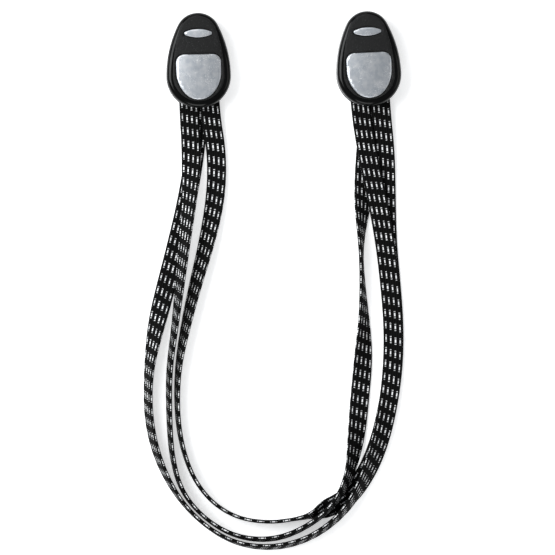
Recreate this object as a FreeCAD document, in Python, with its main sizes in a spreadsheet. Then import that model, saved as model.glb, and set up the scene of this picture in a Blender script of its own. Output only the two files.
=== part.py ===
import FreeCAD, Part
import math
import os

import Sketcher
from FreeCAD import Placement, Rotation, Vector

# Eyeglass retainer strap: three flat elastic bands join two spring clips.
# Frame: millimetres, +Z up, origin on the table midway between the two clips, +Y towards the clips' tips.
# Each clip is drawn in its own frame: its heel, where the bands come out, at y = 0, its tip towards +Y,
# its underside at z = 0. Every clip piece is then set down at the left or the right place.

SIZES = {
    # the whole strap
    "clip_spacing": 69.7,  # between the two clips' centrelines
    "clip_stagger": 0.8,  # how much further up the right clip lies
    "left_tilt": 1.0,  # degrees, each clip's tip leaning to the left
    "right_tilt": 2.7,
    # outline of a clip: a round heel, a smaller round tip and two long side arcs
    "clip_length": 39.1,
    "heel_radius": 13.2,
    "tip_radius": 9.2,
    "shell_wall": 1.8,
    # base, which lies on the table
    "floor_thickness": 1.2,
    "base_height": 4.6,
    "strap_slot": 17.6,
    # cover, which is the lever
    "parting_gap": 0.3,
    "rim_height": 11.6,
    "roof_thickness": 1.8,
    "heel_gap": 5.0,
    "hinge_to_kink": 1.0,  # the slope up to the heel starts this far behind the hinge
    "rim_round": 2.2,
    "base_round": 0.8,
    # hinge
    "hinge_from_tip": 16.8,
    "hinge_height": 5.2,
    "pin_diameter": 1.6,
    "pin_length": 15.0,
    "pin_chamfer": 0.2,
    "pin_clearance": 0.04,
    "knuckle_radius": 2.2,
    "lug_inner": 3.9,
    "lug_thickness": 1.7,
    "ear_gap": 0.2,
    "ear_thickness": 1.8,
    # spring
    "wire_diameter": 0.8,
    "coil_radius": 2.1,
    "coil_pitch": 0.95,
    "whole_turns": 6,
    "leg_play": 0.02,  # between the end of a leg and the floor or the roof
    "leg_length": 6.4,
    # jaws
    "jaw_front": 4.2,  # from the hinge to the jaw blocks
    "jaw_pad_length": 7.0,
    "jaw_pad_width": 9.2,
    "jaw_pad_thickness": 1.1,
    "jaw_pad_proud": 0.1,
    "jaw_pad_from_tip": 3.6,
    "groove_width": 0.6,
    "groove_depth": 0.4,
    "groove_pitch": 1.4,
    # panel on the cover
    "panel_heel_radius": 10.6,
    "panel_tip_radius": 7.7,
    "panel_from_tip": 1.4,
    "panel_from_heel": 2.8,
    "panel_recess": 0.8,
    "panel_proud": 0.5,
    "panel_bevel": 0.25,
    "inlay_gap": 0.15,  # round the panel
    "pad_gap": 0.3,  # round the thumb pad and the badge
    # silver thumb pad
    "pad_width": 18.4,
    "pad_from_tip": 17.1,
    "pad_length": 18.5,
    "pad_widest": 6.8,  # from the pad's front edge to where its sides begin to draw in
    "pad_heel_radius": 7.8,
    "pad_corner": 3.4,
    "pad_recess": 0.5,
    "pad_proud": 0.35,
    "pad_bevel": 0.3,
    # silver badge
    "badge_length": 11.3,
    "badge_radius": 14.0,
    "badge_end_radius": 0.75,
    "badge_from_tip": 8.5,
    "badge_proud": 0.3,
    "badge_bevel": 0.2,
    # clamp that holds the bands
    "clamp_width": 4.0,
    "clamp_from_heel": 13.2,
    "clamp_sheet": 0.7,
    "clamp_span": 16.7,
    "clamp_end_gap": 0.12,  # between a foot and the wall
    "rivet_diameter": 1.1,
    "rivet_head": 1.8,
    "rivet_crown": 1.2,  # across the flat top of a head
    "rivet_head_height": 0.6,
    # bands
    "band_width": 8.0,
    "band_thickness": 1.5,
    # how far a cut runs past the material that it goes through
    "overrun": 1.0,
}

# Where each band lies in a clip, in the clip's own frame: the end under the clamp and the place where it
# leaves the heel, and how many bands lie beneath it there.
BAND_ENDS = {
    "band_outer": {"left": ([(0.0, 15.95), (-0.1, -0.45)], 0), "right": ([(-4.22, 16.0), (-4.1, -0.7)], 1)},
    "band_middle": {"left": ([(-4.25, 15.9), (-4.2, -0.5)], 1), "right": ([(0.0, 16.05), (0.0, -0.5)], 0)},
    "band_inner": {"left": ([(4.24, 16.1), (4.3, -0.4)], 1), "right": ([(4.2, 15.95), (4.35, -0.4)], 1)},
}
# Routes of the bands between the clips, from the left one round to the right one. Each point: x, y, the
# lean in degrees (0 lies flat, 90 stands on edge with its top edge leaning inwards) and the lift of its
# lower side above the table, in thicknesses of a band.
ROUTES = {
    "band_outer": [
        (-36.0, -38.0, 0, 0),
        (-39.3, -57.5, 0, 0),
        (-43.4, -75.0, 0, 0),
        (-48.3, -94.0, 0, 0),
        (-52.8, -112.0, 40, 0),
        (-55.4, -129.0, 70, 0),
        (-55.4, -147.0, 70, 0),
        (-51.6, -163.6, 74, 0),
        (-44.0, -178.7, 84, 0),
        (-33.5, -190.3, 88, 0),
        (-19.9, -198.6, 84, 0),
        (-4.0, -200.6, 78, 0),
        (11.2, -196.6, 76, 0.4),
        (24.0, -187.2, 74, 1.07),
        (32.8, -174.0, 60, 1.4),
        (39.2, -159.0, 36, 1.33),
        (43.2, -143.0, 8, 1.13),
        (45.2, -126.0, 0, 1.07),
        (45.4, -109.0, 0, 1.07),
        (44.0, -92.0, 0, 1.07),
        (42.0, -75.0, 0, 1.07),
        (38.8, -57.5, 0, 1.87),
        (34.6, -38.0, 0, 2.07),
    ],
    "band_middle": [
        (-37.5, -38.0, 2, 1.07),
        (-38.3, -57.5, 48, 1.1),
        (-40.5, -75.0, 58, 1.15),
        (-42.5, -93.0, 68, 1.5),
        (-44.6, -111.0, 78, 0.4),
        (-46.9, -128.0, 80, 0),
        (-46.8, -147.0, 82, 0),
        (-45.7, -163.0, 84, 0),
        (-41.8, -177.2, 86, 0),
        (-32.4, -188.3, 88, 0),
        (-19.4, -196.0, 84, 0),
        (-4.2, -197.3, 80, 0),
        (9.2, -192.2, 80, 0.8),
        (20.4, -183.4, 80, 2.13),
        (27.4, -171.0, 66, 1.33),
        (30.2, -155.0, 28, 0),
        (31.6, -139.5, 8, 0),
        (33.0, -124.5, 14, 0),
        (33.4, -109.0, 54, 0),
        (32.7, -93.0, 80, 0),
        (31.9, -76.0, 86, 0),
        (32.8, -57.5, 26, 0),
        (34.0, -38.5, 0, 0),
    ],
    "band_inner": [
        (-27.1, -38.0, 0, 1),
        (-27.4, -55.5, 16, 0),
        (-31.0, -74.0, 38, 0),
        (-35.9, -92.0, 54, 0),
        (-40.2, -110.0, 66, 0),
        (-43.3, -127.0, 80, 0),
        (-43.6, -145.0, 84, 0),
        (-41.4, -159.5, 86, 0),
        (-36.6, -172.3, 88, 0),
        (-28.8, -182.2, 88, 0),
        (-18.0, -188.4, 88, 0),
        (-5.2, -190.0, 88, 0),
        (5.6, -188.5, 88, 0),
        (12.4, -186.8, 74, 0),
        (18.4, -184.2, 10, 0),
        (27.4, -179.6, 4, 0),
        (34.6, -169.4, 5, 0),
        (39.6, -157.6, 4, 0),
        (43.2, -143.0, 0, 0),
        (45.6, -126.0, 0, 0),
        (45.9, -109.0, 0, 0),
        (44.6, -92.0, 0, 0),
        (43.0, -75.0, 0, 0),
        (42.6, -57.5, 0, 0),
        (42.2, -38.0, 0, 1),
    ],
}
ARC_SHARE = 0.45  # of the shorter run beside a point, on each side of its arc
RIBBON_STEP = 4.0  # between the cross-sections of a band
LEAST_CUT = 0.01  # the least volume that a pocket has to take away
LEVEL = 0.001  # how far an edge may stray and still lie at a height
TIE = 1e-6  # two distances this close are the same

AXIS_Y = -2  # a sketch's own vertical axis
ORIGIN = -1
START, END, CENTRE = 1, 2, 3

SIDES = ("left", "right")

doc = FreeCAD.newDocument("eyeglass_retainer_strap")
sheet = doc.addObject("Spreadsheet::Sheet", "Size")
for row, (alias, number) in enumerate(SIZES.items(), start=1):
    sheet.set("A%d" % row, alias)
    sheet.set("B%d" % row, str(number))
    sheet.setAlias("B%d" % row, alias)
doc.recompute()

HINGE_Y = "(Size.clip_length - Size.hinge_from_tip)"
COVER_BOTTOM = "(Size.base_height + Size.parting_gap)"
RECESS_FLOOR = "(Size.rim_height - Size.panel_recess)"
CEILING = "(Size.rim_height - Size.panel_recess - Size.roof_thickness)"
# how far off level a leg of the spring slopes so that its end reaches a surface, given the surface's
# distance from the hinge's axis
LEG_ANGLE = (
    "(asin((%s - Size.wire_diameter / 2 - Size.leg_play) / sqrt(Size.coil_radius ^ 2 + Size.leg_length ^ 2))"
    " - atan(Size.coil_radius / Size.leg_length))"
)
LOWER_LEG_ANGLE = LEG_ANGLE % "(Size.hinge_height - Size.floor_thickness)"
UPPER_LEG_ANGLE = LEG_ANGLE % ("(%s - Size.hinge_height)" % CEILING)
WHOLE_COIL = "(Size.whole_turns + (180 - %s / 1deg - %s / 1deg) / 360)" % (LOWER_LEG_ANGLE, UPPER_LEG_ANGLE)
PANEL_TOP = "(Size.rim_height + Size.panel_proud)"
LUG_OUTER = "(Size.lug_inner + Size.lug_thickness)"
EAR_INNER = "(Size.lug_inner + Size.lug_thickness + Size.ear_gap)"
EAR_OUTER = "(Size.lug_inner + Size.lug_thickness + Size.ear_gap + Size.ear_thickness)"
JAW_Y = "(Size.clip_length - Size.hinge_from_tip + Size.jaw_front)"
JAW_PAD_Y0 = "(Size.clip_length - Size.jaw_pad_from_tip - Size.jaw_pad_length)"
JAW_PAD_Y1 = "(Size.clip_length - Size.jaw_pad_from_tip)"
JAW_SEAT = "(Size.jaw_pad_thickness - Size.jaw_pad_proud)"
KINK_Y = "(Size.clip_length - Size.hinge_from_tip - Size.hinge_to_kink)"
CLAMP_HALF = (
    "(sqrt((Size.heel_radius - Size.shell_wall) ^ 2"
    " - (abs(Size.heel_radius - Size.clamp_from_heel) + Size.clamp_width / 2) ^ 2) - Size.clamp_end_gap)"
)
RIVET_X = "((Size.clamp_span / 2 + Size.clamp_sheet + %s) / 2)" % CLAMP_HALF  # the middle of a foot


def number(expression):
    """The value of an expression on the sheet, as a plain float."""
    value = sheet.evalExpression(expression)
    return float(getattr(value, "Value", value))


def bind(thing, **properties):
    """Binds properties to expressions on the sheet; a dot in a property's path is written __."""
    for path, expression in properties.items():
        thing.setExpression(path.replace("__", "."), expression)


# ---------------------------------------------------------------- bodies and sketches


def add_body(label):
    body = doc.addObject("PartDesign::Body", label)
    body.Label = label
    return body


def add_sketch(body, plane, height="0", name="sketch"):
    """A sketch on one of the body's origin planes, at a height bound to the sheet."""
    sketch = body.newObject("Sketcher::SketchObject", name)
    origin_plane = [o for o in body.Origin.OriginFeatures if o.Role == plane][0]
    sketch.AttachmentSupport = [(origin_plane, "")]
    sketch.MapMode = "FlatFace"
    bind(sketch, AttachmentOffset__Base__z=height)
    return sketch


def constrain(sketch, *parts, to=None):
    """Adds a constraint; `to` is the expression that gives its value."""
    if to is None:
        sketch.addConstraint(Sketcher.Constraint(*parts))
        return
    index = sketch.addConstraint(Sketcher.Constraint(*parts, number(to)))
    sketch.setExpression("Constraints[%d]" % index, to)


def draw_polygon(sketch, corners):
    """A closed outline whose corners are pairs of expressions."""
    first = sketch.GeometryCount
    points = [Vector(number(x), number(y), 0) for x, y in corners]
    count = len(points)
    for i in range(count):
        sketch.addGeometry(Part.LineSegment(points[i], points[(i + 1) % count]))
    for i in range(count):
        constrain(sketch, "Coincident", first + i, END, first + (i + 1) % count, START)
    for i, (x, y) in enumerate(corners):
        constrain(sketch, "DistanceX", ORIGIN, START, first + i, START, to=x)
        constrain(sketch, "DistanceY", ORIGIN, START, first + i, START, to=y)


def draw_rectangle(sketch, x0, x1, y0, y1):
    draw_polygon(sketch, [(x0, y0), (x1, y0), (x1, y1), (x0, y1)])


def draw_circle(sketch, x, y, radius):
    circle = Part.Circle(Vector(number(x), number(y), 0), Vector(0, 0, 1), number(radius))
    index = sketch.addGeometry(circle)
    constrain(sketch, "Radius", index, to=radius)
    constrain(sketch, "DistanceX", ORIGIN, START, index, CENTRE, to=x)
    constrain(sketch, "DistanceY", ORIGIN, START, index, CENTRE, to=y)


def arc(x, y, radius, start, end):
    circle = Part.Circle(Vector(x, y, 0), Vector(0, 0, 1), radius)
    return Part.ArcOfCircle(circle, math.radians(start), math.radians(end))


def side_radius(heel_radius, heel_y, tip_radius, tip_y):
    """The side arc that leaves the heel arc at its widest point and runs smoothly into the tip arc."""
    reach = tip_y - heel_y
    return (heel_radius ** 2 + reach ** 2 - tip_radius ** 2) / (2 * (heel_radius - tip_radius))


def draw_egg(sketch, heel_radius, heel_y, tip_radius, tip_y):
    """A clip's outline: heel arc, right side, tip arc, left side, each running smoothly into the next."""
    rh, yh = number(heel_radius), number(heel_y)
    rt, yt = number(tip_radius), number(tip_y)
    rs = side_radius(rh, yh, rt, yt)
    turn = math.degrees(math.atan2(yt - yh, rs - rh))
    heel = sketch.addGeometry(arc(0, yh, rh, 180, 360))
    right = sketch.addGeometry(arc(rh - rs, yh, rs, 0, turn))
    tip = sketch.addGeometry(arc(0, yt, rt, turn, 180 - turn))
    left = sketch.addGeometry(arc(rs - rh, yh, rs, 180 - turn, 180))
    for one, other in ((heel, right), (right, tip), (tip, left), (left, heel)):
        constrain(sketch, "Tangent", one, END, other, START)
    for middle, radius, y in ((heel, heel_radius, heel_y), (tip, tip_radius, tip_y)):
        constrain(sketch, "PointOnObject", middle, CENTRE, AXIS_Y)
        constrain(sketch, "Radius", middle, to=radius)
        constrain(sketch, "DistanceY", ORIGIN, START, middle, CENTRE, to=y)
    for side in (right, left):
        constrain(sketch, "Horizontal", heel, CENTRE, side, CENTRE)


CLIP_HEEL_Y = "Size.heel_radius"
CLIP_TIP_Y = "(Size.clip_length - Size.tip_radius)"
CLIP_REACH = "(Size.clip_length - Size.tip_radius - Size.heel_radius)"
CLIP_SIDE_RADIUS = (
    "((Size.heel_radius ^ 2 + %s ^ 2 - Size.tip_radius ^ 2) / (2 * (Size.heel_radius - Size.tip_radius)))"
    % CLIP_REACH
)


def draw_clip_outline(sketch):
    draw_egg(sketch, "Size.heel_radius", CLIP_HEEL_Y, "Size.tip_radius", CLIP_TIP_Y)


def draw_cavity(sketch, front_y):
    """The clip's outline taken in by one wall, and closed by a straight front."""
    wall = number("Size.shell_wall")
    rh, yh = number("Size.heel_radius"), number(CLIP_HEEL_Y)
    rs = number(CLIP_SIDE_RADIUS)
    rise = number(front_y) - yh
    turn = math.degrees(math.asin(rise / (rs - wall)))
    front_x = (rs - wall) * math.cos(math.radians(turn)) - (rs - rh)
    heel = sketch.addGeometry(arc(0, yh, rh - wall, 180, 360))
    right = sketch.addGeometry(arc(rh - rs, yh, rs - wall, 0, turn))
    front = sketch.addGeometry(Part.LineSegment(Vector(front_x, yh + rise, 0), Vector(-front_x, yh + rise, 0)))
    left = sketch.addGeometry(arc(rs - rh, yh, rs - wall, 180 - turn, 180))
    constrain(sketch, "Tangent", heel, END, right, START)
    constrain(sketch, "Tangent", left, END, heel, START)
    constrain(sketch, "Coincident", right, END, front, START)
    constrain(sketch, "Coincident", front, END, left, START)
    constrain(sketch, "Horizontal", front)
    constrain(sketch, "PointOnObject", heel, CENTRE, AXIS_Y)
    constrain(sketch, "DistanceY", ORIGIN, START, heel, CENTRE, to=CLIP_HEEL_Y)
    constrain(sketch, "Radius", heel, to="Size.heel_radius - Size.shell_wall")
    constrain(sketch, "Horizontal", heel, CENTRE, right, CENTRE)
    constrain(sketch, "Horizontal", heel, CENTRE, left, CENTRE)
    constrain(sketch, "Radius", right, to=CLIP_SIDE_RADIUS + " - Size.shell_wall")
    constrain(sketch, "Equal", right, left)
    constrain(sketch, "DistanceY", ORIGIN, START, front, START, to=front_y)


def draw_thumb_outline(sketch, grow):
    """Straight front with round corners, straight sides that draw in to a rounded heel; grown by a gap."""
    half = "(Size.pad_width / 2 + %s)" % grow
    front_y = "(Size.clip_length - Size.pad_from_tip + %s)" % grow
    widest_y = "(Size.clip_length - Size.pad_from_tip - Size.pad_widest)"
    heel_y = "(Size.clip_length - Size.pad_from_tip - Size.pad_length + Size.pad_heel_radius)"
    heel_radius = "(Size.pad_heel_radius + %s)" % grow
    corner = "(Size.pad_corner + %s)" % grow
    h, yf, yw, yh = number(half), number(front_y), number(widest_y), number(heel_y)
    rh, rc = number(heel_radius), number(corner)
    rs = side_radius(h, yw, rh, yh)
    turn = math.degrees(math.atan2(yw - yh, rs - h))
    left_side = sketch.addGeometry(arc(rs - h, yw, rs, 180, 180 + turn))
    heel = sketch.addGeometry(arc(0, yh, rh, 180 + turn, 360 - turn))
    right_side = sketch.addGeometry(arc(h - rs, yw, rs, 360 - turn, 360))
    right = sketch.addGeometry(Part.LineSegment(Vector(h, yw, 0), Vector(h, yf - rc, 0)))
    right_corner = sketch.addGeometry(arc(h - rc, yf - rc, rc, 0, 90))
    front = sketch.addGeometry(Part.LineSegment(Vector(h - rc, yf, 0), Vector(rc - h, yf, 0)))
    left_corner = sketch.addGeometry(arc(rc - h, yf - rc, rc, 90, 180))
    left = sketch.addGeometry(Part.LineSegment(Vector(-h, yf - rc, 0), Vector(-h, yw, 0)))
    ring = [left_side, heel, right_side, right, right_corner, front, left_corner, left]
    for one, other in zip(ring, ring[1:] + ring[:1]):
        constrain(sketch, "Tangent", one, END, other, START)
    constrain(sketch, "PointOnObject", heel, CENTRE, AXIS_Y)
    constrain(sketch, "DistanceY", ORIGIN, START, heel, CENTRE, to=heel_y)
    constrain(sketch, "Radius", heel, to=heel_radius)
    constrain(sketch, "Vertical", right)
    constrain(sketch, "Vertical", left)
    constrain(sketch, "DistanceX", ORIGIN, START, right, START, to=half)
    constrain(sketch, "DistanceX", left, START, ORIGIN, START, to=half)
    constrain(sketch, "DistanceY", ORIGIN, START, right, START, to=widest_y)
    constrain(sketch, "DistanceY", ORIGIN, START, left, END, to=widest_y)
    constrain(sketch, "Horizontal", front)
    constrain(sketch, "Radius", right_corner, to=corner)
    constrain(sketch, "Radius", left_corner, to=corner)
    constrain(sketch, "DistanceY", ORIGIN, START, front, START, to=front_y)


def draw_badge_outline(sketch, grow):
    """A slim oval: two long arcs and two small end arcs."""
    middle_y = "(Size.clip_length - Size.badge_from_tip)"
    end_x = "(Size.badge_length / 2 - Size.badge_end_radius)"
    end_radius = "(Size.badge_end_radius + %s)" % grow
    radius = "(Size.badge_radius + %s)" % grow
    ym, xe, re, r = number(middle_y), number(end_x), number(end_radius), number(radius)
    drop = math.sqrt((r - re) ** 2 - xe ** 2)
    lift = math.degrees(math.atan2(drop, xe))
    right = sketch.addGeometry(arc(xe, ym, re, -lift, lift))
    upper = sketch.addGeometry(arc(0, ym - drop, r, lift, 180 - lift))
    left = sketch.addGeometry(arc(-xe, ym, re, 180 - lift, 180 + lift))
    lower = sketch.addGeometry(arc(0, ym + drop, r, 180 + lift, 360 - lift))
    for one, other in ((right, upper), (upper, left), (left, lower), (lower, right)):
        constrain(sketch, "Tangent", one, END, other, START)
    constrain(sketch, "DistanceX", ORIGIN, START, right, CENTRE, to=end_x)
    constrain(sketch, "DistanceX", left, CENTRE, ORIGIN, START, to=end_x)
    for end in (right, left):
        constrain(sketch, "DistanceY", ORIGIN, START, end, CENTRE, to=middle_y)
        constrain(sketch, "Radius", end, to=end_radius)
    for long_arc in (upper, lower):
        constrain(sketch, "Radius", long_arc, to=radius)


def pad(body, sketch, length, both_ways=False):
    feature = body.newObject("PartDesign::Pad", "pad")
    feature.Profile = sketch
    feature.Midplane = both_ways
    bind(feature, Length=length)
    doc.recompute()
    return feature


def pocket(body, sketch, depth=None, upwards=False):
    """Cuts down from the sketch, up from it, or, with no depth, right through both ways."""
    before = body.Shape.Volume
    feature = body.newObject("PartDesign::Pocket", "pocket")
    feature.Profile = sketch
    if depth is None:
        feature.Type = "ThroughAll"
        feature.Midplane = True
    else:
        feature.Reversed = upwards
        bind(feature, Length=depth)
    doc.recompute()
    if body.Shape.Volume > before - LEAST_CUT:
        raise RuntimeError("%s: a pocket cut nothing" % body.Label)
    return feature


def edges_where(feature, test):
    """Names of the feature's edges that pass the test."""
    return ["Edge%d" % i for i, e in enumerate(feature.Shape.Edges, start=1) if test(e)]


def edges_at_height(feature, height):
    """Names of the edges that lie wholly at one height."""
    z = number(height)

    def flat_at_z(e):
        box = e.BoundBox
        return abs(box.ZMin - z) < LEVEL and abs(box.ZMax - z) < LEVEL

    return edges_where(feature, flat_at_z)


def dress(body, kind, edges, size):
    """Rounds or bevels the named edges of the body's last feature."""
    base = body.Tip
    feature = body.newObject("PartDesign::" + kind, kind.lower())
    feature.Base = (base, edges)
    if kind == "Fillet":
        bind(feature, Radius=size)
    else:
        bind(feature, Size=size)
    doc.recompute()
    return feature


# ---------------------------------------------------------------- a clip's pieces


def make_back_shell(label):
    """Tray that lies on the table, with the lower jaw block, the hinge ears and the slot for the bands."""
    body = add_body(label)
    outline = add_sketch(body, "XY_Plane")
    draw_clip_outline(outline)
    base = pad(body, outline, "Size.base_height")
    dress(body, "Fillet", edges_at_height(base, "0"), "Size.base_round")

    cavity = add_sketch(body, "XY_Plane", "Size.base_height")
    draw_cavity(cavity, JAW_Y)
    pocket(body, cavity, "Size.base_height - Size.floor_thickness")

    slot = add_sketch(body, "XY_Plane", "Size.base_height")
    draw_rectangle(slot, "-Size.strap_slot / 2", "Size.strap_slot / 2", "-Size.overrun", "Size.heel_radius / 2")
    pocket(body, slot, "Size.base_height - Size.floor_thickness")

    for inner in (EAR_INNER, "-" + EAR_OUTER):
        ear = add_sketch(body, "YZ_Plane", inner)
        draw_polygon(
            ear,
            [
                (HINGE_Y + " - Size.knuckle_radius", "Size.floor_thickness / 2"),
                (HINGE_Y + " + Size.knuckle_radius", "Size.floor_thickness / 2"),
                (HINGE_Y + " + Size.knuckle_radius", "Size.hinge_height"),
                (HINGE_Y + " - Size.knuckle_radius", "Size.hinge_height"),
            ],
        )
        pad(body, ear, "Size.ear_thickness")
        knuckle = add_sketch(body, "YZ_Plane", inner)
        draw_circle(knuckle, HINGE_Y, "Size.hinge_height", "Size.knuckle_radius")
        pad(body, knuckle, "Size.ear_thickness")
    pin_hole = add_sketch(body, "YZ_Plane")
    draw_circle(pin_hole, HINGE_Y, "Size.hinge_height", "Size.pin_diameter / 2")
    bore = pocket(body, pin_hole, "Size.pin_length + Size.ear_gap")
    bore.Midplane = True

    cut_jaw_seat(body, "Size.base_height", upwards=False)

    rivets = add_sketch(body, "XY_Plane", "Size.floor_thickness")
    for sign in ("-", ""):
        draw_circle(rivets, sign + RIVET_X, "Size.clamp_from_heel", "Size.rivet_diameter / 2")
    pocket(body, rivets, "Size.floor_thickness")
    return body


def draw_jaw_pad(sketch):
    draw_rectangle(sketch, "-Size.jaw_pad_width / 2", "Size.jaw_pad_width / 2", JAW_PAD_Y0, JAW_PAD_Y1)


def cut_jaw_seat(body, face, upwards):
    seat = add_sketch(body, "XY_Plane", face)
    draw_jaw_pad(seat)
    pocket(body, seat, JAW_SEAT, upwards)


def make_front_shell(label):
    """The lever: glossy rim, upper jaw block, hinge lugs, and a heel that stands clear to be pressed."""
    body = add_body(label)
    outline = add_sketch(body, "XY_Plane", COVER_BOTTOM)
    draw_clip_outline(outline)
    cover = pad(body, outline, "Size.rim_height - " + COVER_BOTTOM)
    dress(body, "Fillet", edges_at_height(cover, "Size.rim_height"), "Size.rim_round")

    cavity = add_sketch(body, "XY_Plane", COVER_BOTTOM)
    draw_cavity(cavity, JAW_Y)
    pocket(body, cavity, CEILING + " - " + COVER_BOTTOM, upwards=True)

    below = COVER_BOTTOM + " - Size.overrun"
    slope_end = "(%s + Size.heel_gap * (1 + Size.overrun / %s))" % (COVER_BOTTOM, KINK_Y)
    heel_cut = add_sketch(body, "YZ_Plane")
    draw_polygon(
        heel_cut,
        [(KINK_Y, COVER_BOTTOM), ("-Size.overrun", slope_end), ("-Size.overrun", below), (KINK_Y, below)],
    )
    pocket(body, heel_cut)

    for inner in ("Size.lug_inner", "-" + LUG_OUTER):
        lug = add_sketch(body, "YZ_Plane", inner)
        draw_polygon(
            lug,
            [
                (HINGE_Y + " - Size.knuckle_radius", "Size.hinge_height"),
                (HINGE_Y + " + Size.knuckle_radius", "Size.hinge_height"),
                (HINGE_Y + " + Size.knuckle_radius", CEILING + " + Size.roof_thickness / 2"),
                (HINGE_Y + " - Size.knuckle_radius", CEILING + " + Size.roof_thickness / 2"),
            ],
        )
        pad(body, lug, "Size.lug_thickness")
        knuckle = add_sketch(body, "YZ_Plane", inner)
        draw_circle(knuckle, HINGE_Y, "Size.hinge_height", "Size.knuckle_radius")
        pad(body, knuckle, "Size.lug_thickness")
    pin_hole = add_sketch(body, "YZ_Plane")
    draw_circle(pin_hole, HINGE_Y, "Size.hinge_height", "Size.pin_diameter / 2 + Size.pin_clearance")
    bore = pocket(body, pin_hole, "2 * " + LUG_OUTER + " + Size.ear_gap")
    bore.Midplane = True

    recess = add_sketch(body, "XY_Plane", "Size.rim_height")
    draw_panel_outline(recess, "Size.inlay_gap")
    pocket(body, recess, "Size.panel_recess")

    cut_jaw_seat(body, COVER_BOTTOM, upwards=True)
    return body


def draw_panel_outline(sketch, grow):
    draw_egg(
        sketch,
        "(Size.panel_heel_radius + %s)" % grow,
        "(Size.panel_from_heel + Size.panel_heel_radius)",
        "(Size.panel_tip_radius + %s)" % grow,
        "(Size.clip_length - Size.panel_from_tip - Size.panel_tip_radius)",
    )


def make_grip_panel(label):
    """Grained panel that fills the cover's recess and carries the badge and the thumb pad."""
    body = add_body(label)
    outline = add_sketch(body, "XY_Plane", RECESS_FLOOR)
    draw_panel_outline(outline, "0")
    panel = pad(body, outline, "Size.panel_recess + Size.panel_proud")
    dress(body, "Chamfer", edges_at_height(panel, PANEL_TOP), "Size.panel_bevel")
    for draw in (draw_thumb_outline, draw_badge_outline):
        recess = add_sketch(body, "XY_Plane", PANEL_TOP)
        draw(recess, "Size.pad_gap")
        pocket(body, recess, "Size.pad_recess")
    return body


def make_inlay(label, draw, proud, bevel):
    """A bevelled metal plate in the panel: the thumb pad or the badge."""
    body = add_body(label)
    outline = add_sketch(body, "XY_Plane", PANEL_TOP + " - Size.pad_recess")
    draw(outline, "0")
    plate = pad(body, outline, "Size.pad_recess + " + proud)
    dress(body, "Chamfer", edges_at_height(plate, PANEL_TOP + " + " + proud), bevel)
    return body


def make_hinge_pin(label):
    body = add_body(label)
    section = add_sketch(body, "YZ_Plane")
    draw_circle(section, HINGE_Y, "Size.hinge_height", "Size.pin_diameter / 2")
    pin = pad(body, section, "Size.pin_length", both_ways=True)
    rings = edges_where(pin, lambda e: len(e.Vertexes) == 1)
    dress(body, "Chamfer", rings, "Size.pin_chamfer")
    return body


def make_torsion_spring(label):
    """Coil round the hinge pin, one leg on the base's floor and the other under the cover's roof."""
    body = add_body(label)
    lower_leg, upper_leg = number(LOWER_LEG_ANGLE), number(UPPER_LEG_ANGLE)
    radius = number("Size.coil_radius")
    half_length = number(WHOLE_COIL) * number("Size.coil_pitch") / 2
    hinge = Vector(0, number(HINGE_Y), number("Size.hinge_height"))

    # the helix starts under the pin, where the lower leg meets it: the profile's plane holds the pin's axis
    profile = body.newObject("Sketcher::SketchObject", "wire_section")
    profile.Placement = Placement(hinge - Vector(half_length, 0, 0), Rotation(Vector(1, 0, 0), lower_leg - 90))
    draw_circle(profile, "0", "Size.coil_radius", "Size.wire_diameter / 2")
    coil = body.newObject("PartDesign::AdditiveHelix", "coil")
    coil.Profile = profile
    coil.ReferenceAxis = (profile, ["H_Axis"])
    coil.Mode = "pitch-turns-angle"
    bind(coil, Pitch="Size.coil_pitch", Turns=WHOLE_COIL)
    doc.recompute()

    for end, up, leg in ((-half_length, -1, lower_leg), (half_length, 1, upper_leg)):
        angle = math.radians(leg)
        joint = hinge + Vector(end, radius * math.sin(angle), up * radius * math.cos(angle))
        outward = Vector(0, -math.cos(angle), up * math.sin(angle))
        wire = body.newObject("PartDesign::AdditiveCylinder", "leg")
        wire.Placement = Placement(joint, Rotation(Vector(0, 0, 1), outward))
        bind(wire, Radius="Size.wire_diameter / 2", Height="Size.leg_length")
        doc.recompute()
    return body


def make_jaw_pad(label, face, up):
    """Rubber pad with grooves across it, in a seat in a jaw block; up is +1 on the base, -1 on the cover."""
    body = add_body(label)
    top = "%s %s Size.jaw_pad_proud" % (face, "+" if up > 0 else "-")
    outline = add_sketch(body, "XY_Plane", top)
    draw_jaw_pad(outline)
    block = pad(body, outline, "Size.jaw_pad_thickness")
    block.Reversed = up > 0
    doc.recompute()
    groove = add_sketch(body, "XY_Plane", top)
    draw_rectangle(
        groove,
        "-Size.jaw_pad_width / 2 - Size.overrun",
        "Size.jaw_pad_width / 2 + Size.overrun",
        JAW_PAD_Y0 + " + Size.groove_pitch / 2",
        JAW_PAD_Y0 + " + Size.groove_pitch / 2 + Size.groove_width",
    )
    cut = pocket(body, groove, "Size.groove_depth", upwards=up < 0)
    pattern = body.newObject("PartDesign::LinearPattern", "grooves")
    pattern.Originals = [cut]
    pattern.Direction = (groove, ["V_Axis"])
    pattern.Mode = "Spacing"
    whole_grooves = "floor((Size.jaw_pad_length - Size.groove_pitch / 2) / Size.groove_pitch)"
    pattern.Occurrences = int(number(whole_grooves))
    bind(pattern, Offset="Size.groove_pitch")
    body.Tip = pattern
    doc.recompute()
    return body


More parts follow.
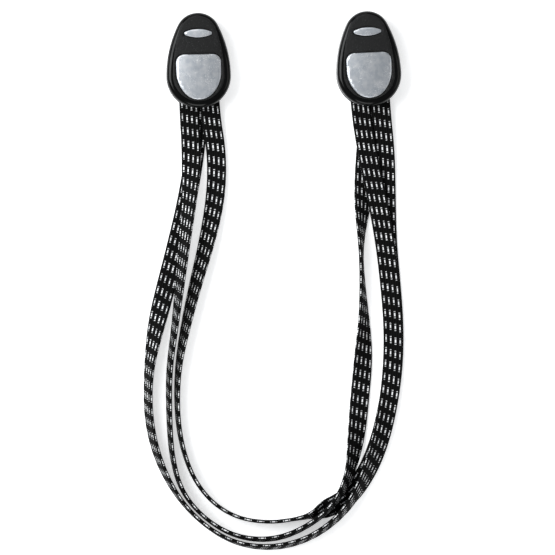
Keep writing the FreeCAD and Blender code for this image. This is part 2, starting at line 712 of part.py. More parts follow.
def make_strap_clamp(label):
    """Pressed steel bracket over the bands' ends, with a foot at each side."""
    body = add_body(label)
    inner_half = "Size.clamp_span / 2"
    outer_half = "(Size.clamp_span / 2 + Size.clamp_sheet)"
    foot_half = CLAMP_HALF
    floor = "Size.floor_thickness"
    foot_top = "(Size.floor_thickness + Size.clamp_sheet)"
    under = "(Size.floor_thickness + 2 * Size.band_thickness)"
    top = "(Size.floor_thickness + 2 * Size.band_thickness + Size.clamp_sheet)"
    right_half = [
        (inner_half, under),
        (inner_half, floor),
        (foot_half, floor),
        (foot_half, foot_top),
        (outer_half, foot_top),
        (outer_half, top),
    ]
    left_half = [("-" + x, z) for x, z in reversed(right_half)]
    profile = add_sketch(body, "XZ_Plane", "-Size.clamp_from_heel")
    draw_polygon(profile, right_half + left_half)
    pad(body, profile, "Size.clamp_width", both_ways=True)
    holes = add_sketch(body, "XY_Plane", foot_top)
    for sign in ("-", ""):
        draw_circle(holes, sign + RIVET_X, "Size.clamp_from_heel", "Size.rivet_diameter / 2")
    pocket(body, holes, "Size.clamp_sheet")
    return body


def make_clamp_rivets(label):
    """The two rivets that hold the clamp's feet to the base's floor, as one group."""
    solids = []
    head_z = "Size.floor_thickness + Size.clamp_sheet"
    for sign in ("-", ""):
        shank = doc.addObject("Part::Cylinder", "rivet_shank")
        bind(shank, Radius="Size.rivet_diameter / 2", Height=head_z)
        head = doc.addObject("Part::Cone", "rivet_head")
        bind(head, Radius1="Size.rivet_head / 2", Radius2="Size.rivet_crown / 2")
        bind(head, Height="Size.rivet_head_height")
        bind(head, Placement__Base__z=head_z)
        for piece in (shank, head):
            bind(piece, Placement__Base__x=sign + RIVET_X, Placement__Base__y="Size.clamp_from_heel")
        rivet = doc.addObject("Part::Fuse", "rivet")
        rivet.Base = shank
        rivet.Tool = head
        solids.append(rivet)
    group = doc.addObject("Part::Compound", label)
    group.Label = label
    group.Links = solids
    return group


def set_down(piece, side):
    """Puts a clip's piece in the frame: turned by the tilt, with the middle of its length at its place."""
    sign = "-" if side == "left" else ""
    tilt = "Size.%s_tilt" % side
    piece.Placement = Placement(Vector(0, 0, 0), Rotation(Vector(0, 0, 1), number(tilt)))
    bind(
        piece,
        Placement__Rotation__Angle=tilt,
        Placement__Base__x="%sSize.clip_spacing / 2 + Size.clip_length / 2 * sin(%s)" % (sign, tilt),
        Placement__Base__y="%sSize.clip_stagger / 2 - Size.clip_length / 2 * cos(%s)" % (sign, tilt),
    )


def make_clip(side):
    pieces = [
        make_back_shell(side + "_back_shell"),
        make_front_shell(side + "_front_shell"),
        make_grip_panel(side + "_grip_panel"),
        make_inlay(side + "_thumb_pad", draw_thumb_outline, "Size.pad_proud", "Size.pad_bevel"),
        make_inlay(side + "_badge", draw_badge_outline, "Size.badge_proud", "Size.badge_bevel"),
        make_hinge_pin(side + "_hinge_pin"),
        make_torsion_spring(side + "_torsion_spring"),
        make_jaw_pad(side + "_lower_jaw_pad", "Size.base_height", +1),
        make_jaw_pad(side + "_upper_jaw_pad", COVER_BOTTOM, -1),
        make_strap_clamp(side + "_strap_clamp"),
        make_clamp_rivets(side + "_clamp_rivets"),
    ]
    for piece in pieces:
        set_down(piece, side)
    return pieces


# ---------------------------------------------------------------- bands


def clip_place(side, x, y):
    """A place in a clip's own frame, in the strap's frame."""
    sign = -1 if side == "left" else 1
    tilt = math.radians(number("Size.%s_tilt" % side))
    half = number("Size.clip_length") / 2
    heel_x = sign * number("Size.clip_spacing") / 2 + half * math.sin(tilt)
    heel_y = sign * number("Size.clip_stagger") / 2 - half * math.cos(tilt)
    return (
        heel_x + x * math.cos(tilt) - y * math.sin(tilt),
        heel_y + x * math.sin(tilt) + y * math.cos(tilt),
    )


def whole_route(label):
    """A band's points from its left end to its right end: x, y, lean and lift in millimetres."""
    thickness = number("Size.band_thickness")
    ends = {}
    for side in SIDES:
        places, beneath = BAND_ENDS[label][side]
        lift = number("Size.floor_thickness") + beneath * thickness
        ends[side] = [clip_place(side, x, y) + (0, lift) for x, y in places]
    free = [(x, y, lean, share * thickness) for x, y, lean, share in ROUTES[label]]
    return ends["left"] + free + ends["right"][::-1]


def band_path(label, route):
    """Straight runs joined by tangent arcs, in plan; gives the wire and prints the arcs' radii."""
    points = [Vector(x, y, 0) for x, y, lean, lift in route]
    edges = []
    radii = []
    here = points[0]
    for before, corner, after in zip(points, points[1:], points[2:]):
        back = before - corner
        ahead = after - corner
        cut = ARC_SHARE * min(back.Length, ahead.Length)
        half_turn = (math.pi - back.getAngle(ahead)) / 2
        radii.append(cut / math.tan(half_turn))
        start = corner + back.normalize() * cut
        end = corner + ahead.normalize() * cut
        inward = (back + ahead).normalize()
        middle = corner + inward * (radii[-1] / math.cos(half_turn) - radii[-1])
        edges.append(Part.LineSegment(here, start).toShape())
        edges.append(Part.Arc(start, middle, end).toShape())
        here = end
    edges.append(Part.LineSegment(here, points[-1]).toShape())
    print("%s: arc radii from %.0f to %.0f mm" % (label, min(radii), max(radii)))
    return Part.Wire(edges)


def route_value(route, point, column):
    """Lean or lift at a place on the route, between the values of the two nearest points in turn."""
    best = None
    for one, other in zip(route, route[1:]):
        a = Vector(one[0], one[1], 0)
        run = Vector(other[0], other[1], 0) - a
        share = max(0.0, min(1.0, (point - a).dot(run) / run.dot(run)))
        distance = (point - a - run * share).Length
        if best is None or distance < best[0] - TIE:
            best = (distance, one[column] + (other[column] - one[column]) * share)
    return best[1]


def band_section(point, ahead, lean, lift, width, thickness):
    """The band's rectangle at a point, leaning about its own middle, its lowest corner at the lift."""
    outward = Vector(ahead.y, -ahead.x, 0)
    angle = math.radians(lean)
    across = outward * -math.cos(angle) + Vector(0, 0, math.sin(angle))
    face = outward * math.sin(angle) + Vector(0, 0, math.cos(angle))
    half_height = (width * math.sin(angle) + thickness * math.cos(angle)) / 2
    middle = Vector(point.x, point.y, lift + half_height)
    corners = []
    for side, top in ((-1, -1), (1, -1), (1, 1), (-1, 1)):
        corners.append(middle + across * (side * width / 2) + face * (top * thickness / 2))
    return Part.makePolygon(corners + corners[:1])


def make_band(label, route):
    """A flat elastic band along its route, as one solid through its cross-sections."""
    width = number("Size.band_width")
    thickness = number("Size.band_thickness")
    path = band_path(label, route)
    count = int(path.Length / RIBBON_STEP)
    points = path.discretize(Number=count)
    sections = []
    for i, point in enumerate(points):
        ahead = points[min(i + 1, count - 1)] - points[max(i - 1, 0)]
        ahead.normalize()
        lean = route_value(route, point, 2)
        lift = route_value(route, point, 3)
        sections.append(band_section(point, ahead, lean, lift, width, thickness))
    solid = Part.makeLoft(sections, True, True)
    band = doc.addObject("Part::Feature", label)
    band.Label = label
    band.Shape = solid
    band.Placement = Placement()
    share = solid.Volume / (width * thickness * path.Length)
    print("%s: %.0f mm long, volume %.3f of section times length" % (label, path.Length, share))
    return band


# ---------------------------------------------------------------- the strap

nodes = []
for side in SIDES:
    nodes += make_clip(side)
for label in ROUTES:
    nodes.append(make_band(label, whole_route(label)))
doc.recompute()

for thing in doc.Objects:
    if "Invalid" in thing.State or "Error" in thing.State:
        raise RuntimeError("%s (%s) did not recompute: %s" % (thing.Name, thing.Label, thing.State))
os.makedirs("parts", exist_ok=True)
for node in nodes:
    if node.Shape.isNull() or not node.Shape.isValid():
        raise RuntimeError("%s has no valid shape" % node.Label)
    node.Shape.exportStep("parts/%s.step" % node.Label)
print("%d nodes" % len(nodes))
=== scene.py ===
import math

import bmesh
import bpy
from mathutils import Matrix, Vector


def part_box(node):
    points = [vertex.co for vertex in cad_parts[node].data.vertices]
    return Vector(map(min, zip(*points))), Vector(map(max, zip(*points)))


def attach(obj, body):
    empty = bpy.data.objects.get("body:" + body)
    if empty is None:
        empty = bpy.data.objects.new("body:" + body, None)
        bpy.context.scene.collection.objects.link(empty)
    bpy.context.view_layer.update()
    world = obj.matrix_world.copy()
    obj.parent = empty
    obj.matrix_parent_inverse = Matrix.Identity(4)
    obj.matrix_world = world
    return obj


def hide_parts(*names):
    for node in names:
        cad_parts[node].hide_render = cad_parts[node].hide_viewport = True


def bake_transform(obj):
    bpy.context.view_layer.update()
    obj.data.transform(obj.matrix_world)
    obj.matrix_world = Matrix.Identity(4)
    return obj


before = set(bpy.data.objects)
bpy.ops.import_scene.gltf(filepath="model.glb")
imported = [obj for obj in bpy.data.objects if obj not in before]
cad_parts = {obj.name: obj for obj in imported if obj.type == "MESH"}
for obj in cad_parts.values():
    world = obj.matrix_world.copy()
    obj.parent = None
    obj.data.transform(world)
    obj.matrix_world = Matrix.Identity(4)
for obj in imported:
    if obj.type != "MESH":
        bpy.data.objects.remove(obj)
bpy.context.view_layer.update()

# Eyeglass retainer strap, seen from above on a pale table: two sprung clips joined by three knitted
# elastic bands. Metres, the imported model's own frame: +Z up, +Y towards the clips' tips.

MM = 0.001
SIDES = ("left", "right")
ROOT = "strap_and_bases"
scene = bpy.context.scene


# ---------------------------------------------------------------- shader maths


class Wire:
    """A socket in a material; an expression on wires adds its Math nodes."""

    def __init__(self, sheet, socket):
        self.sheet = sheet
        self.socket = socket

    def _maths(self, operation, *others):
        return self.sheet.node("ShaderNodeMath", {"operation": operation}, dict(enumerate((self, *others))))

    def output(self, name):
        """Another output of the same node."""
        return Wire(self.sheet, self.socket.node.outputs[name])

    def __add__(self, other):
        return self._maths("ADD", other)

    __radd__ = __add__

    def __sub__(self, other):
        return self._maths("SUBTRACT", other)

    def __rsub__(self, other):
        return self.sheet.node("ShaderNodeMath", {"operation": "SUBTRACT"}, {0: other, 1: self})

    def __mul__(self, other):
        return self._maths("MULTIPLY", other)

    __rmul__ = __mul__

    def __truediv__(self, other):
        return self._maths("DIVIDE", other)

    def floor(self):
        return self._maths("FLOOR")

    def fract(self):
        return self._maths("FRACT")

    def size(self):
        return self._maths("ABSOLUTE")

    def sine(self):
        return self._maths("SINE")

    def most(self, other):
        return self._maths("MAXIMUM", other)

    def step(self, low, high, to_low=0.0, to_high=1.0):
        """Smoothly from to_low at low to to_high at high."""
        return self.sheet.node(
            "ShaderNodeMapRange",
            {"interpolation_type": "SMOOTHSTEP"},
            {"Value": self, "From Min": low, "From Max": high, "To Min": to_low, "To Max": to_high},
        )


class Finish:
    """A material under construction, around one Principled shader."""

    def __init__(self, name, **sockets):
        self.material = bpy.data.materials.new(name)
        self.material.use_nodes = True
        self.tree = self.material.node_tree
        self.shader = self.tree.nodes["Principled BSDF"]
        for socket, value in sockets.items():
            self.set(socket.replace("_", " "), value)

    def _feed(self, socket, value):
        if isinstance(value, Wire):
            self.tree.links.new(value.socket, socket)
        else:
            socket.default_value = value

    def set(self, socket, value):
        self._feed(self.shader.inputs[socket], value)

    def node(self, kind, settings=None, sockets=None, out=0):
        """Any other node: its settings first, then the values or wires of its sockets."""
        made = self.tree.nodes.new(kind)
        for key, value in (settings or {}).items():
            setattr(made, key, value)
        for key, value in (sockets or {}).items():
            self._feed(made.inputs[key], value)
        return Wire(self, made.outputs[out])

    def place(self):
        return self.node("ShaderNodeTexCoord", out="Object")

    def stretched(self, scale):
        return self.node("ShaderNodeMapping", {}, {"Vector": self.place(), "Scale": scale})

    def noise(self, size, where=None, detail=2.0, roughness=0.5):
        """Noise from 0 to 1 with blotches of a size in metres."""
        return self.node(
            "ShaderNodeTexNoise",
            {"normalize": True},
            {"Vector": where or self.place(), "Scale": 1 / size, "Detail": detail, "Roughness": roughness},
            out="Fac",
        )

    def grains(self, size):
        """Rounded grains of a size in metres: 0 in the middle of each."""
        sockets = {"Vector": self.place(), "Scale": 1 / size}
        return self.node("ShaderNodeTexVoronoi", {}, sockets, out="Distance")

    def blend(self, amount, one, other):
        """From colour one to colour other."""
        return self.node("ShaderNodeMix", {"data_type": "RGBA"}, {0: amount, 6: one, 7: other}, out=2)

    def bump(self, height, depth, strength):
        """Height from 0 to 1 is depth metres deep."""
        sockets = {"Strength": strength, "Distance": depth, "Height": height}
        self.set("Normal", self.node("ShaderNodeBump", {}, sockets))

    def uv(self, name):
        """The two coordinates of the piece's own map."""
        spot = self.node("ShaderNodeUVMap", {"uv_map": name})
        x = self.node("ShaderNodeSeparateXYZ", {}, {0: spot}, out="X")
        return x, x.output("Y")

    def whims(self, x, y):
        """Three chances from 0 to 1 for each whole x and y."""
        settings = {"noise_dimensions": "2D"}
        sockets = {"Vector": self.node("ShaderNodeCombineXYZ", {}, {"X": x, "Y": y})}
        colour = self.node("ShaderNodeTexWhiteNoise", settings, sockets, out="Color")
        red = self.node("ShaderNodeSeparateColor", {}, {0: colour}, out="Red")
        return red, red.output("Green"), red.output("Blue")


def grey(level, warmth=0.0):
    return (level * (1 + warmth), level, level * (1 - warmth), 1.0)


# ---------------------------------------------------------------- finishes

# the knit's sizes, in millimetres as its map is
FLECK_PITCH = 5.35  # along the band, from row to row
FLECK_SKEW = 0.6  # further along at each column
FLECK_WANDER = 0.35  # half of it to either side of its row, at most
COLUMN_PITCH = 1.96  # across the band
FLECK_HALF_WIDTH = 0.16
FLECK_EXTRA_WIDTH = 0.10  # of the widest flecks
SHORT_STITCH_PLACE = 1.27  # from the fleck's middle
# how far off a stitch's middle it begins to fade and has faded: along it, and beyond its half width
LONG_STITCH_END = (0.55, 0.80)
LONG_STITCH_SIDE = (-0.04, 0.12)
SHORT_STITCH_END = (0.10, 0.24)
SHORT_STITCH_SIDE = (0.04, 0.18)
LOOP_PITCH = 0.62
LOOP_SLANT = 1.1  # loops further along for each rib across


def make_elastic(name, first_fleck):
    """Black knitted elastic with rows of reflective flecks, each a short, a long and a short stitch.
    Its map runs in millimetres along the band and in fleck columns round it."""
    f = Finish(name, Specular_IOR_Level=0.08, Sheen_Weight=0.015, Sheen_Roughness=0.4)
    along, round_it = f.uv("knit")
    column = round_it.floor()
    aside = (round_it.fract() - 0.5) * COLUMN_PITCH
    rows = (along - first_fleck - column * FLECK_SKEW) / FLECK_PITCH
    row = rows.floor()
    one, two, three = f.whims(row, column)
    on = ((rows.fract() - 0.5) * FLECK_PITCH + (one - 0.5) * FLECK_WANDER).size()
    side = aside.size() - (FLECK_HALF_WIDTH + two * FLECK_EXTRA_WIDTH)
    off = (on - SHORT_STITCH_PLACE).size()
    long_stitch = on.step(*LONG_STITCH_END, 1.0, 0.0) * side.step(*LONG_STITCH_SIDE, 1.0, 0.0)
    short_stitch = off.step(*SHORT_STITCH_END, 1.0, 0.0) * side.step(*SHORT_STITCH_SIDE, 1.0, 0.0)
    fleck = long_stitch.most(short_stitch * (0.45 + three * 0.5))

    # stitches: slanting loops along each rib, two ribs to a column
    rib = (round_it * 2).fract() - 0.5
    loop = ((along / LOOP_PITCH + rib.size() * LOOP_SLANT) * math.tau).sine() * 0.5 + 0.5
    fuzz = f.noise(0.25 * MM, detail=3.0)
    # painted sheen: the crest of each rib is coloured lighter than its sides, where light would catch it
    painted_crest_sheen = rib.size().step(0.1, 0.5, 1.0, 0.0)
    yarn_and_painted_sheen = f.blend(painted_crest_sheen * (0.2 + fuzz * 0.8), grey(0.001), grey(0.006, 0.02))
    silver = f.blend(three, grey(0.80, -0.01), grey(0.95))
    f.set("Base Color", f.blend(fleck, yarn_and_painted_sheen, silver))
    f.set("Roughness", fleck.step(0.2, 0.8, 0.78, 0.42))
    f.bump(loop * 0.5 + fuzz * 0.3 + fleck * 0.5, 0.10 * MM, 0.8)
    return f.material


def make_gloss_black():
    f = Finish("rim_gloss_black", Specular_IOR_Level=0.12, Coat_Roughness=0.06)
    dust = f.grains(0.9 * MM).step(0.03, 0.09, 1.0, 0.0)
    haze = f.noise(6 * MM, detail=3.0)
    hair = f.noise(0.5 * MM, f.stretched((1.0, 0.06, 1.0)), detail=2.0).step(0.66, 0.74)
    f.set("Base Color", f.blend(dust * 0.2, grey(0.002), grey(0.03)))
    f.set("Roughness", 0.12 + haze * 0.06 + hair * 0.12)
    f.set("Coat Weight", haze.step(0.3, 0.8, 0.16, 0.06))
    f.bump(haze * 0.6 + hair * 0.05, 0.05 * MM, 0.25)
    return f.material


def make_shell_black():
    f = Finish("shell_black", Specular_IOR_Level=0.3)
    spark = f.noise(0.22 * MM, detail=3.0, roughness=0.6)
    cloud = f.noise(5 * MM)
    f.set("Base Color", f.blend(spark * 0.6, grey(0.003), grey(0.008)))
    f.set("Roughness", 0.26 + cloud * 0.10 + spark * 0.06)
    f.bump(spark, 0.03 * MM, 0.35)
    return f.material


def make_panel_grain():
    """Fine leathery grain, lighter where thumbs have polished its tops."""
    f = Finish("panel_grained", Specular_IOR_Level=0.3)
    grain = f.grains(0.42 * MM)
    fine = f.noise(0.16 * MM, detail=2.0)
    cloud = f.noise(4.5 * MM, detail=3.0)
    tops = grain.step(0.10, 0.55, 1.0, 0.0)
    polished = f.noise(0.5 * MM, detail=2.0).step(0.50, 0.68) * tops
    worn = f.blend(cloud.step(0.35, 0.65), grey(0.018), grey(0.050, -0.05))
    f.set("Base Color", f.blend(polished, grey(0.003), worn))
    f.set("Roughness", 0.60 - polished * 0.22 + cloud * 0.08)
    f.bump(tops * 0.8 + fine * 0.3, 0.09 * MM, 0.9)
    return f.material


def make_satin_silver():
    """Silver plating over moulded plastic: satin, faintly mottled, with fine streaks along the clip."""
    f = Finish("satin_silver", Metallic=0.92, Specular_IOR_Level=0.5)
    mottle = f.noise(2.2 * MM, detail=4.0, roughness=0.6)
    speck = f.noise(0.42 * MM, detail=2.0)
    streak = f.noise(0.28 * MM, f.stretched((1.0, 0.08, 1.0)), detail=3.0)
    scratched = f.noise(5 * MM, detail=2.0).step(0.42, 0.58)
    tone = f.blend(mottle.step(0.3, 0.7), (0.50, 0.53, 0.57, 1.0), (0.62, 0.63, 0.65, 1.0))
    f.set("Base Color", f.blend(speck.step(0.58, 0.66) * scratched * 0.8, tone, grey(1.0)))
    f.set("Roughness", 0.30 + mottle * 0.12 + streak * 0.10)
    f.bump(streak * 0.5 + speck * 0.4 + mottle * 0.5, 0.03 * MM, 0.35)
    return f.material


def make_steel(name, level, stretch, size, roughness):
    """Bright steel with drawing or pressing lines that run the long way of the stretch."""
    f = Finish(name, Metallic=1.0)
    line = f.noise(size, f.stretched(stretch), detail=3.0)
    stain = f.noise(3 * MM, detail=3.0)
    f.set("Base Color", f.blend(stain, grey(level * 0.82, 0.02), grey(level)))
    f.set("Roughness", roughness + line * 0.16 + stain * 0.06)
    f.bump(line, 0.02 * MM, 0.4)
    return f.material


def make_rubber():
    f = Finish("jaw_rubber", Specular_IOR_Level=0.35)
    tooth = f.noise(0.18 * MM, detail=3.0)
    chalk = f.noise(2.0 * MM, detail=4.0)
    f.set("Base Color", f.blend(chalk.step(0.45, 0.8), grey(0.018), grey(0.040, 0.03)))
    f.set("Roughness", 0.72 + tooth * 0.15)
    f.bump(tooth, 0.04 * MM, 0.5)
    return f.material


GLOSS = make_gloss_black()
SHELL = make_shell_black()
PANEL = make_panel_grain()
SILVER = make_satin_silver()
PIN_STEEL = make_steel("pin_steel", 0.66, (0.1, 1.0, 1.0), 0.15 * MM, 0.20)
SPRING_STEEL = make_steel("spring_steel", 0.52, (1.0, 0.15, 0.15), 0.12 * MM, 0.24)
CLAMP_STEEL = make_steel("clamp_steel", 0.60, (0.08, 1.0, 1.0), 0.20 * MM, 0.28)
RUBBER = make_rubber()


def paint(piece, material):
    piece.data.materials.clear()
    piece.data.materials.append(material)


def add_piece(bm, name, node, material):
    """A piece made from a bmesh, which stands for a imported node."""
    mesh = bpy.data.meshes.new(name)
    bm.to_mesh(mesh)
    bm.free()
    piece = bpy.data.objects.new(name, mesh)
    scene.collection.objects.link(piece)
    paint(piece, material)
    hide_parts(node)
    return piece


# ---------------------------------------------------------------- camera

LOOK_AT = Vector((-2.4, -89.3, 8.0)) * MM
FRAME_WIDTH = 227.55 * MM
CAMERA_HEIGHT = 2.5
CAMERA_ASIDE = -0.08  # it stands a little to the left
SENSOR = 36.0

eye = LOOK_AT + Vector((CAMERA_ASIDE, 0.0, CAMERA_HEIGHT))
camera_data = bpy.data.cameras.new("camera")
camera_data.sensor_width = SENSOR
camera_data.lens = SENSOR * (eye - LOOK_AT).length / FRAME_WIDTH
camera_data.clip_start = 0.01
camera = bpy.data.objects.new("camera", camera_data)
ahead = (LOOK_AT - eye).normalized()
up = Vector((0, 1, 0))
right = ahead.cross(up).normalized()
camera.matrix_world = Matrix.Translation(eye) @ Matrix((right, up, -ahead)).transposed().to_4x4()
scene.collection.objects.link(camera)
scene.camera = camera

# ---------------------------------------------------------------- bands

# x and y in metres, the lean in degrees (0 lies flat, 90 stands on edge with its top edge leaning
# inwards) and the lift of the lower side above the table
ROUTES = {
    "band_outer": [
        (-0.03479, -0.004, 0, 0.0012),
        (-0.0346, -0.0204, 0, 0.0012),
        (-0.0360, -0.0380, 0, 0.0),
        (-0.0393, -0.0575, 0, 0.0),
        (-0.0434, -0.0750, 0, 0.0),
        (-0.0483, -0.0940, 0, 0.0),
        (-0.0528, -0.1120, 40, 0.0),
        (-0.0554, -0.1290, 70, 0.0),
        (-0.0554, -0.1470, 70, 0.0),
        (-0.0516, -0.1636, 74, 0.0),
        (-0.0440, -0.1787, 84, 0.0),
        (-0.0335, -0.1903, 88, 0.0),
        (-0.0199, -0.1986, 84, 0.0),
        (-0.0040, -0.2006, 78, 0.0),
        (0.0112, -0.1966, 76, 0.0006),
        (0.0240, -0.1872, 74, 0.0016),
        (0.0328, -0.1740, 60, 0.0021),
        (0.0392, -0.1590, 36, 0.0020),
        (0.0432, -0.1430, 8, 0.0017),
        (0.0452, -0.1260, 0, 0.0016),
        (0.0454, -0.1090, 0, 0.0016),
        (0.0440, -0.0920, 0, 0.0016),
        (0.0420, -0.0750, 0, 0.0016),
        (0.0388, -0.0575, 0, 0.0028),
        (0.0346, -0.0380, 0, 0.0031),
        (0.03171, -0.02002, 0, 0.0027),
        (0.0308, -0.00334, 0, 0.0027),
    ],
    "band_middle": [
        (-0.03904, -0.00412, 0, 0.0027),
        (-0.0387, -0.02052, 0, 0.0027),
        (-0.0375, -0.0380, 2, 0.0016),
        (-0.0383, -0.0575, 48, 0.0017),
        (-0.0405, -0.0750, 58, 0.0017),
        (-0.0425, -0.0930, 68, 0.0023),
        (-0.0446, -0.1110, 78, 0.0006),
        (-0.0469, -0.1280, 80, 0.0),
        (-0.0468, -0.1470, 82, 0.0),
        (-0.0457, -0.1630, 84, 0.0),
        (-0.0418, -0.1772, 86, 0.0),
        (-0.0324, -0.1883, 88, 0.0),
        (-0.0194, -0.1960, 84, 0.0),
        (-0.0042, -0.1973, 80, 0.0),
        (0.0092, -0.1922, 80, 0.0012),
        (0.0204, -0.1834, 80, 0.0032),
        (0.0274, -0.1710, 66, 0.0020),
        (0.0302, -0.1550, 28, 0.0),
        (0.0316, -0.1395, 8, 0.0),
        (0.0330, -0.1245, 14, 0.0),
        (0.0334, -0.1090, 54, 0.0),
        (0.0327, -0.0930, 80, 0.0),
        (0.0319, -0.0760, 86, 0.0),
        (0.0328, -0.0575, 26, 0.0),
        (0.0340, -0.0385, 0, 0.0),
        (0.03579, -0.01963, 0, 0.0012),
        (0.03501, -0.0031, 0, 0.0012),
    ],
    "band_inner": [
        (-0.03055, -0.00378, 0, 0.0027),
        (-0.0302, -0.02027, 0, 0.0027),
        (-0.0271, -0.0380, 0, 0.0015),
        (-0.0274, -0.0555, 16, 0.0),
        (-0.0310, -0.0740, 38, 0.0),
        (-0.0359, -0.0920, 54, 0.0),
        (-0.0402, -0.1100, 66, 0.0),
        (-0.0433, -0.1270, 80, 0.0),
        (-0.0436, -0.1450, 84, 0.0),
        (-0.0414, -0.1595, 86, 0.0),
        (-0.0366, -0.1723, 88, 0.0),
        (-0.0288, -0.1822, 88, 0.0),
        (-0.0180, -0.1884, 88, 0.0),
        (-0.0052, -0.1900, 88, 0.0),
        (0.0056, -0.1885, 88, 0.0),
        (0.0124, -0.1868, 74, 0.0),
        (0.0184, -0.1842, 10, 0.0),
        (0.0274, -0.1796, 4, 0.0),
        (0.0346, -0.1694, 5, 0.0),
        (0.0396, -0.1576, 4, 0.0),
        (0.0432, -0.1430, 0, 0.0),
        (0.0456, -0.1260, 0, 0.0),
        (0.0459, -0.1090, 0, 0.0),
        (0.0446, -0.0920, 0, 0.0),
        (0.0430, -0.0750, 0, 0.0),
        (0.0426, -0.0575, 0, 0.0),
        (0.0422, -0.0380, 0, 0.0015),
        (0.04013, -0.01932, 0, 0.0027),
        (0.03921, -0.0030, 0, 0.0027),
    ],
}
BAND_WIDTH = 8.0 * MM
BAND_THICKNESS = 1.5 * MM
FIRST_FLECKS = {"band_outer": 0.0, "band_middle": 1.7, "band_inner": 3.1}  # mm from its first end
RINGS_PER_POINT = 22
FLECK_COLUMNS = 10  # round the band, five to a face
OUTER_COLUMN = 1.5  # columns from the middle; the outermost goes from there round the edge
RIBS = 2 * FLECK_COLUMNS
VERTS_PER_RIB = 4
RIB_DEPTH = 0.13 * MM
MERGE_DISTANCE = 0.001 * MM


def smooth_line(points):
    """The points of the smooth spline that these points control."""
    curve = bpy.data.curves.new("route", "CURVE")
    curve.dimensions = "3D"
    curve.resolution_u = RINGS_PER_POINT
    spline = curve.splines.new("NURBS")
    spline.points.add(len(points) - 1)
    for control, point in zip(spline.points, points):
        control.co = (*point, 1.0)
    spline.order_u = 3
    spline.use_endpoint_u = True
    spline.resolution_u = RINGS_PER_POINT
    thing = bpy.data.objects.new("route", curve)
    mesh = bpy.data.meshes.new_from_object(thing)
    line = [v.co.copy() for v in mesh.vertices]
    bpy.data.meshes.remove(mesh)
    bpy.data.objects.remove(thing)
    bpy.data.curves.remove(curve)
    return line


def band_profile():
    """One turn round the band's section, from the middle of its underside: the place across the band
    and through it, and the fleck column that it falls in, 0 at the middle of the top."""
    edge_radius = BAND_THICKNESS / 2
    flat = BAND_WIDTH / 2 - edge_radius
    pitch = COLUMN_PITCH * MM
    outermost = flat - OUTER_COLUMN * pitch + edge_radius * math.pi / 2
    stations = []
    for i in range(RIBS * VERTS_PER_RIB + 1):
        column = i / (RIBS * VERTS_PER_RIB) * FLECK_COLUMNS - FLECK_COLUMNS / 2
        dip = RIB_DEPTH * (1 - abs(math.sin(math.pi * i / VERTS_PER_RIB)))
        away = abs(column)
        sign = 1 if column >= 0 else -1
        on_top = away <= FLECK_COLUMNS / 4
        far = away if on_top else FLECK_COLUMNS / 2 - away
        spread = min(far, OUTER_COLUMN) * pitch + max(0.0, far - OUTER_COLUMN) * outermost
        turn = max(0.0, (spread - flat) / edge_radius)
        across = min(spread, flat) + (edge_radius - dip) * math.sin(turn)
        height = (edge_radius - dip) * math.cos(turn)
        stations.append((sign * across, height if on_top else -height, column))
    return stations


def make_band(name):
    """A ribbed band: a grid laid round the profile at each place along the route, closed at its ends."""
    route = ROUTES[name]
    line = smooth_line([(x, y, 0.0) for x, y, lean, lift in route])
    ways = smooth_line([(lean, lift, 0.0) for x, y, lean, lift in route])
    profile = band_profile()
    bm = bmesh.new()
    knit = bm.loops.layers.uv.new("knit")
    bmesh.ops.create_grid(bm, x_segments=len(profile) - 1, y_segments=len(line) - 1, size=1.0)
    bm.verts.ensure_lookup_table()
    centres = []
    along = 0.0
    spots = {}
    for i, (point, (lean, lift, _)) in enumerate(zip(line, ways)):
        ahead = (line[min(i + 1, len(line) - 1)] - line[max(i - 1, 0)]).normalized()
        outward = Vector((ahead.y, -ahead.x, 0))
        lean = math.radians(lean)
        across = outward * -math.cos(lean) + Vector((0, 0, math.sin(lean)))
        face = outward * math.sin(lean) + Vector((0, 0, math.cos(lean)))
        rise = (BAND_WIDTH * math.sin(lean) + BAND_THICKNESS * math.cos(lean)) / 2
        middle = point + Vector((0, 0, lift + rise))
        if centres:
            along += (middle - centres[-1]).length
        centres.append(middle)
        for j, (aside, height, column) in enumerate(profile):
            vert = bm.verts[i * len(profile) + j]
            vert.co = middle + across * aside + face * height
            spots[vert.index] = (along / MM, column)
    for polygon in bm.faces:
        polygon.smooth = True
        for loop in polygon.loops:
            loop[knit].uv = spots[loop.vert.index]
    bmesh.ops.remove_doubles(bm, verts=bm.verts, dist=MERGE_DISTANCE)
    ends = [e for e in bm.edges if e.is_boundary]
    bmesh.ops.holes_fill(bm, edges=ends, sides=0)
    bmesh.ops.recalc_face_normals(bm, faces=bm.faces)
    elastic = make_elastic(name + "_elastic", FIRST_FLECKS[name])
    band = add_piece(bm, name + "_knit", name, elastic)
    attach(band, ROOT)


for band_name in ROUTES:
    make_band(band_name)

# ---------------------------------------------------------------- clips

PLAIN_NODES = (
    ("back_shell", SHELL, "shell_black"),
    ("front_shell", GLOSS, "rim_gloss_black"),
    ("hinge_pin", PIN_STEEL, "pin_steel"),
    ("strap_clamp", CLAMP_STEEL, "clamp_steel"),
    ("clamp_rivets", PIN_STEEL, "pin_steel"),
    ("lower_jaw_pad", RUBBER, "jaw_rubber"),
    ("upper_jaw_pad", RUBBER, "jaw_rubber"),
)
CROWNED_NODES = (
    ("grip_panel", PANEL, "panel_grained"),
    ("thumb_pad", SILVER, "satin_silver"),
    ("badge", SILVER, "satin_silver"),
)
CROWN = 0.55 * MM  # how much higher the middle of the panel stands than its long sides
CROWN_STEP = 1.0 * MM
CROWN_FALL = 0.6  # of the crown, from its middle to its two ends
EDGE_DROP = 0.2 * MM  # how far its long sides sink
PANEL_HALF_WIDTH = 10.6 * MM
PANEL_HALF_LENGTH = 17.4 * MM
CROWN_LEVEL = 0.9 * MM  # above the panel's underside; only what is higher is moved
CUT_TOLERANCE = 1e-7
FLAT_ANGLE = math.radians(0.5)  # faces that meet at less are one face
SMOOTH_ANGLE = math.radians(32)  # edges that turn by more stay sharp


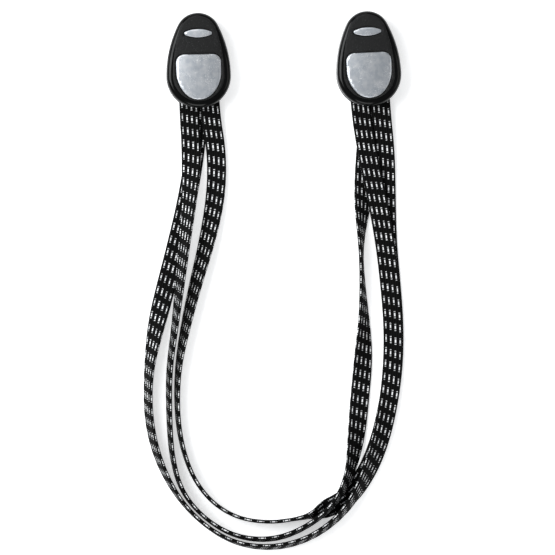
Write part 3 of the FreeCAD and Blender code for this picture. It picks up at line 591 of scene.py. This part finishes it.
def copy_of(node):
    """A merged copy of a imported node, open in a bmesh."""
    bm = bmesh.new()
    bm.from_mesh(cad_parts[node].data)
    bmesh.ops.remove_doubles(bm, verts=bm.verts, dist=MERGE_DISTANCE)
    return bm


def crown(bm, low, middle):
    """Cuts a mesh on a fine grid and bends what is above a level into a shallow crown."""
    for axis, reach in ((Vector((1, 0, 0)), PANEL_HALF_WIDTH), (Vector((0, 1, 0)), PANEL_HALF_LENGTH)):
        steps = int(reach / CROWN_STEP)
        for i in range(-steps, steps + 1):
            bmesh.ops.bisect_plane(
                bm,
                geom=bm.verts[:] + bm.edges[:] + bm.faces[:],
                dist=CUT_TOLERANCE,
                plane_co=middle + axis * (i * CROWN_STEP),
                plane_no=axis,
            )
    for vert in bm.verts:
        if vert.co.z > low:
            aside = (vert.co.x - middle.x) / PANEL_HALF_WIDTH
            on = (vert.co.y - middle.y) / PANEL_HALF_LENGTH
            vert.co.z += CROWN * (1 - aside * aside) * (1 - CROWN_FALL * on * on) - EDGE_DROP


def make_crowned(side, node, material):
    """The panel, or a plate set in it, crowned with the panel."""
    panel_low, panel_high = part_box(side + "_grip_panel")
    bm = copy_of(side + "_" + node)
    bmesh.ops.dissolve_limit(bm, angle_limit=FLAT_ANGLE, verts=bm.verts, edges=bm.edges)
    crown(bm, panel_low.z + CROWN_LEVEL, (panel_low + panel_high) / 2)
    for polygon in bm.faces:
        polygon.smooth = True
    piece = add_piece(bm, side + "_" + node + "_crowned", side + "_" + node, material)
    piece.data.set_sharp_from_angle(angle=SMOOTH_ANGLE)
    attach(piece, side + "_lever")


def make_spring(side):
    """The torsion spring between the base and the lever, which winds up as the lever opens; this copy keeps
    its rest shape.
    """
    node = side + "_torsion_spring"
    bm = copy_of(node)
    for polygon in bm.faces:
        polygon.smooth = True
    piece = add_piece(bm, side + "_spring_wire", node, SPRING_STEEL)
    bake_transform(piece)


for side in SIDES:
    for node, material, slot in PLAIN_NODES:
        paint(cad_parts[side + "_" + node], material)
    for node, material, slot in CROWNED_NODES:
        make_crowned(side, node, material)
    make_spring(side)

# ---------------------------------------------------------------- table and light

TABLE_HALF_SIZE = 3.0


def make_table():
    bm = bmesh.new()
    bmesh.ops.create_grid(bm, x_segments=1, y_segments=1, size=TABLE_HALF_SIZE)
    mesh = bpy.data.meshes.new("table")
    bm.to_mesh(mesh)
    bm.free()
    table = bpy.data.objects.new("table", mesh)
    scene.collection.objects.link(table)
    white = Finish("table_white", Roughness=0.6, Specular_IOR_Level=0.2, Emission_Strength=0.5)
    white.set("Emission Color", grey(1.0))
    white.set("Base Color", white.blend(white.noise(0.4), grey(0.93), grey(0.95)))
    mesh.materials.append(white.material)


make_table()

# name, place in metres, side of its square in metres, power in watts, colour
LAMPS = (
    ("softbox_left", (-0.80, 0.20, 0.90), 0.9, 16.0, (0.97, 0.99, 1.0)),
    ("softbox_right", (0.85, -0.10, 0.60), 0.6, 1.2, (1.0, 0.99, 0.97)),
    ("softbox_front", (-0.10, -1.00, 0.70), 0.6, 3.5, (1.0, 1.0, 1.0)),
    ("softbox_back", (-0.20, 0.85, 0.70), 0.6, 2.5, (1.0, 1.0, 1.0)),
)
for name, place, size, power, colour in LAMPS:
    lamp_data = bpy.data.lights.new(name, "AREA")
    lamp_data.shape = "SQUARE"
    lamp_data.size = size
    lamp_data.energy = power
    lamp_data.color = colour
    lamp = bpy.data.objects.new(name, lamp_data)
    lamp.location = place
    lamp.rotation_euler = (LOOK_AT - Vector(place)).to_track_quat("-Z", "Y").to_euler()
    scene.collection.objects.link(lamp)

ROOM_COLOUR = (0.9, 0.95, 1.0, 1.0)
ROOM_STRENGTH = 0.24

room = bpy.data.worlds.new("room")
room.use_nodes = True
background = room.node_tree.nodes["Background"]
background.inputs["Color"].default_value = ROOM_COLOUR
background.inputs["Strength"].default_value = ROOM_STRENGTH
scene.world = room
scene.view_settings.view_transform = "Standard"
